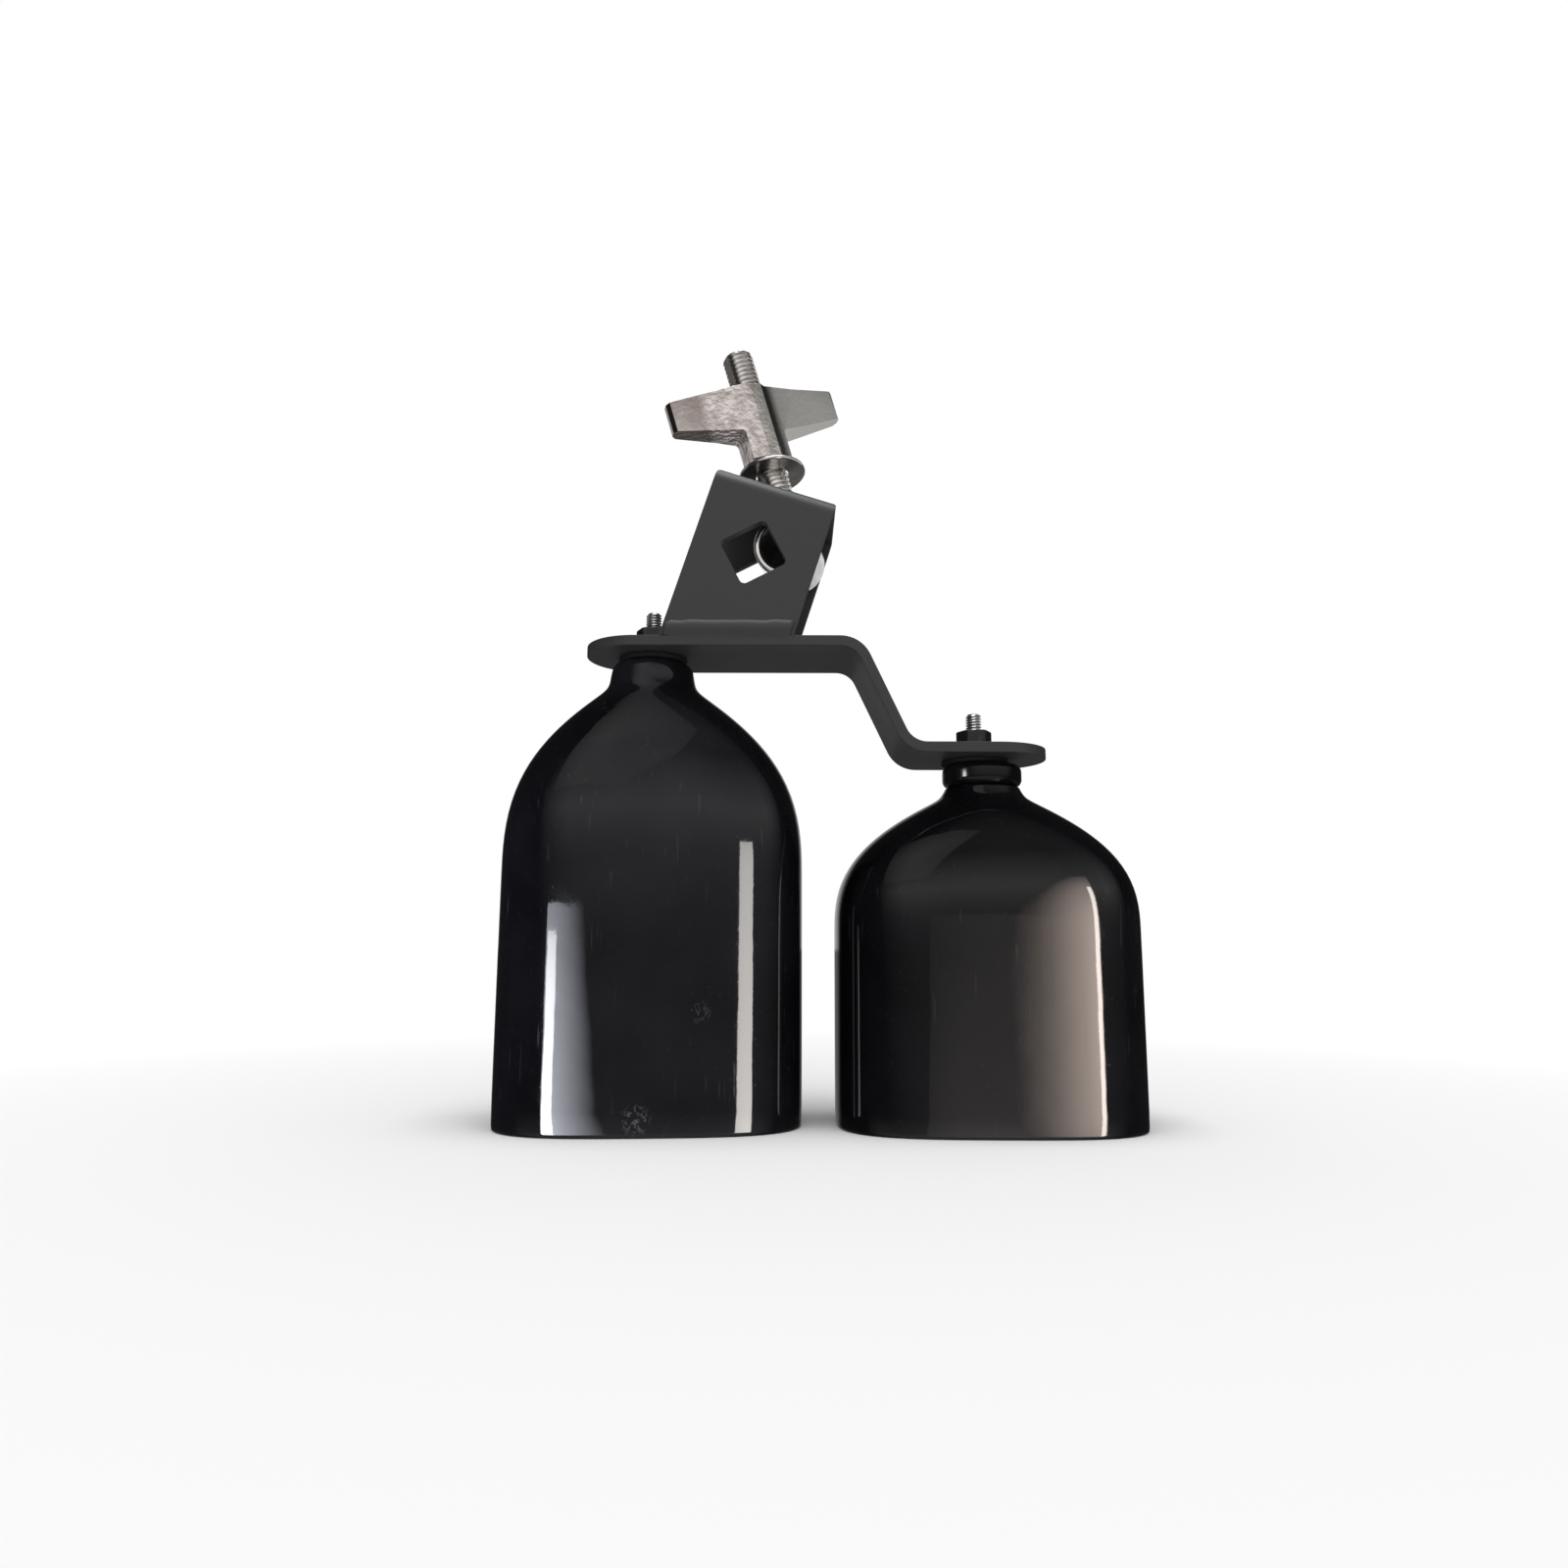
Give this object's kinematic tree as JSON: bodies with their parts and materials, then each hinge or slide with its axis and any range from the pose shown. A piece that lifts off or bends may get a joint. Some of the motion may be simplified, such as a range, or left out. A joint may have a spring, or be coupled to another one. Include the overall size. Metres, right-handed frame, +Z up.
{
  "type": "agogo bell",
  "caption": "Double agogo bell for mounting on a stand: two oblong steel bells, mouths down, under an offset flat bar with a rod clamp closed by a wing nut.",
  "frame": {"origin": "centre of the assembly's footprint, on the plane of the two bells' mouths", "axes": "+X along the bar from the large bell to the small bell, +Y away from the viewer, square to the bar, +Z up, out of the bells' crowns"},
  "size_m": [0.1528, 0.0502, 0.197],
  "materials": {
    "satin_black_paint": "satin",
    "gloss_black_paint": "gloss",
    "gloss_black_collar": "gloss",
    "chrome_plate": "polished",
    "chrome_cast": "plated over a rough casting",
    "plated_steel": "zinc plated",
    "blackened_steel": "black oxide",
    "black_rubber": "matt"
  },
  "bodies": {
    "frame": {"offset_bar": "satin_black_paint", "clamp_stirrup": "satin_black_paint", "stirrup_welds": "satin_black_paint", "large_bell": "gloss_black_paint", "large_bell_gasket": "black_rubber", "large_bell_bolt": "plated_steel", "large_bell_washer": "plated_steel", "large_lock_washer": "blackened_steel", "large_bell_nut": "blackened_steel", "small_bell": "gloss_black_paint", "small_bell_spacer": "gloss_black_collar", "small_bell_gasket": "black_rubber", "small_bell_bolt": "plated_steel", "small_bell_washer": "plated_steel", "small_lock_washer": "blackened_steel", "small_bell_nut": "blackened_steel"},
    "clamp_bolt": {"clamp_stud": "chrome_plate", "eye_barrel": "chrome_plate"},
    "clamp_washer": {"clamp_washer": "chrome_plate"},
    "wing_nut": {"wing_nut": "chrome_cast"}
  },
  "joints": [
    {"name": "clamp_tilt", "type": "hinge", "parent": "frame", "child": "clamp_bolt", "pos_m": [-0.00887, 0, 0.15336], "axis": [0, 1, 0], "range_deg": [0, 60]},
    {"name": "washer_slide", "type": "slide", "parent": "clamp_bolt", "child": "clamp_washer", "axis": [-0.2773, 0, 0.9608], "range_m": [-0.0013, 0.0113]},
    {"name": "wing_nut_spin", "type": "hinge", "parent": "clamp_washer", "child": "wing_nut", "pos_m": [-0.00887, 0, 0.15336], "axis": [-0.2773, 0, 0.9608], "range_deg": [-360, 3240]}
  ],
  "couplings": [
    {"joint": "washer_slide", "follows": "wing_nut_spin", "m_per_rad": 0.00019894}
  ]
}
